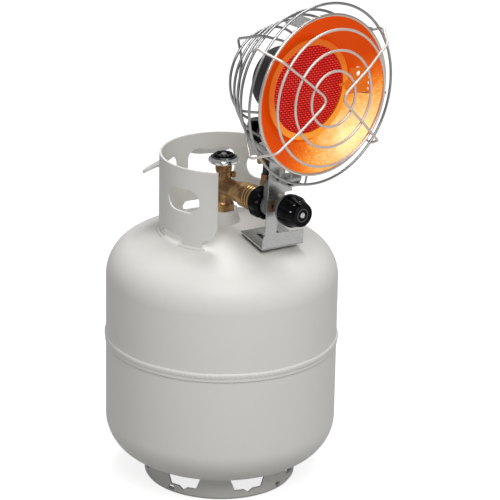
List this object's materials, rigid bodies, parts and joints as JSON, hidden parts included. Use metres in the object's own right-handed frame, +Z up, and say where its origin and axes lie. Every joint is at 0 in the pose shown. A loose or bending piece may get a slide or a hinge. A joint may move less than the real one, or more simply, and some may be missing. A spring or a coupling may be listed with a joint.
{
  "type": "portable propane heater",
  "caption": "Radiant propane heater head in a wire guard, on a bent bracket screwed to the valve of its white steel gas cylinder.",
  "frame": {"origin": "on the cylinder's axis, on the plane its foot ring stands on", "axes": "+Z up along the cylinder; the burner faces -Y; +X to the right seen from in front of the burner"},
  "size_m": [0.3132, 0.3618, 0.7004],
  "materials": {
    "white_enamel": "white enamel over steel",
    "valve_brass": "machined brass",
    "wheel_enamel": "enamelled die casting",
    "black_plastic": "black moulded plastic",
    "bright_steel": "zinc-plated steel",
    "float_plastic": "closed-cell float",
    "pad_rubber": "black rubber",
    "cast_grey": "die-cast zinc, as cast",
    "zinc_sheet": "zinc-plated sheet",
    "black_casting": "black painted fitting",
    "plated_tube": "plated steel tube",
    "reflector_steel": "bright aluminised steel",
    "burner_steel": "heat-stained steel",
    "polished_ring": "polished steel ring",
    "screen_mesh": "woven heat-proof wire",
    "copper": "bare copper",
    "guard_wire": "plated steel wire"
  },
  "bodies": {
    "tank": {"tank_upper_shell": "white_enamel", "tank_lower_shell": "white_enamel", "girth_weld": "white_enamel", "foot_ring": "white_enamel", "collar": "white_enamel", "collar_welds": "white_enamel", "neck_boss": "white_enamel", "valve_body": "valve_brass", "valve_bonnet": "valve_brass", "relief_valve": "valve_brass", "bleeder_screw": "valve_brass", "dip_tube": "bright_steel", "float_bracket": "bright_steel"},
    "handwheel_set": {"handwheel": "wheel_enamel", "wheel_insert": "black_plastic", "valve_spindle": "bright_steel"},
    "float_set": {"float_arm": "bright_steel", "overfill_float": "float_plastic"},
    "heater": {"inlet_nipple": "valve_brass", "inlet_seal": "pad_rubber", "rear_manifold": "cast_grey", "regulator_body": "cast_grey", "diaphragm": "pad_rubber", "regulator_spring": "bright_steel", "support_bracket": "zinc_sheet", "foot_pad": "pad_rubber", "riser_elbow": "valve_brass", "gas_riser": "black_casting", "hinge_block": "black_casting", "tip_switch": "bright_steel"},
    "nut": {"coupling_nut": "black_plastic"},
    "knob": {"control_knob": "black_plastic", "knob_shaft": "bright_steel"},
    "head": {"tilt_arm": "zinc_sheet", "hinge_bolt": "bright_steel", "wing_nut": "bright_steel", "valve_block": "black_casting", "orifice": "valve_brass", "venturi_tube": "plated_tube", "reflector": "reflector_steel", "burner_cup": "burner_steel", "burner_flange": "polished_ring", "glow_screen": "screen_mesh", "inner_screen": "screen_mesh", "baffle_plate": "burner_steel", "thermocouple": "zinc_sheet", "thermocouple_lead": "copper", "guard_face_ring_1": "guard_wire", "guard_face_ring_2": "guard_wire", "guard_face_ring_3": "guard_wire", "guard_front_hoop": "guard_wire", "guard_rear_hoop_1": "guard_wire", "guard_rear_hoop_2": "guard_wire", "guard_rear_hoop_3": "guard_wire", "guard_rear_hoop_4": "guard_wire", "guard_hairpin_left": "guard_wire", "guard_hairpin_right": "guard_wire", "guard_basket_wires": "guard_wire", "guard_tag": "zinc_sheet"},
    "button": {"safety_button": "black_plastic"}
  },
  "joints": [
    {"name": "handwheel_turn", "type": "hinge", "parent": "tank", "child": "handwheel_set", "pos_m": [0, 0, 0.448], "axis": [0, 0, 1], "range_deg": [0, 540]},
    {"name": "float_swing", "type": "hinge", "parent": "tank", "child": "float_set", "pos_m": [-0.007, -0.004, 0.334], "axis": [0, 1, 0], "range_deg": [-25, 8]},
    {"name": "heater_unscrew", "type": "slide", "parent": "tank", "child": "heater", "axis": [0, -1, 0], "range_m": [0, 0.01524]},
    {"name": "nut_turn", "type": "hinge", "parent": "heater", "child": "nut", "pos_m": [0, -0.08, 0.411], "axis": [0, -1, 0], "range_deg": [0, 1080]},
    {"name": "knob_turn", "type": "hinge", "parent": "heater", "child": "knob", "pos_m": [0.00947, -0.137, 0.4103], "axis": [0, -1, 0], "range_deg": [0, 270]},
    {"name": "head_tilt", "type": "hinge", "parent": "heater", "child": "head", "pos_m": [0.00235, -0.093, 0.48402], "axis": [-0.9973, 0, 0.0732], "range_deg": [0, 30]},
    {"name": "button_press", "type": "slide", "parent": "head", "child": "button", "axis": [0, -1, 0], "range_m": [0, 0.003], "stiffness_N_per_m": 600, "springref_m": -0.003}
  ],
  "couplings": [
    {"joint": "nut_turn", "follows": "heater_unscrew", "rad_per_m": 1236.8}
  ]
}
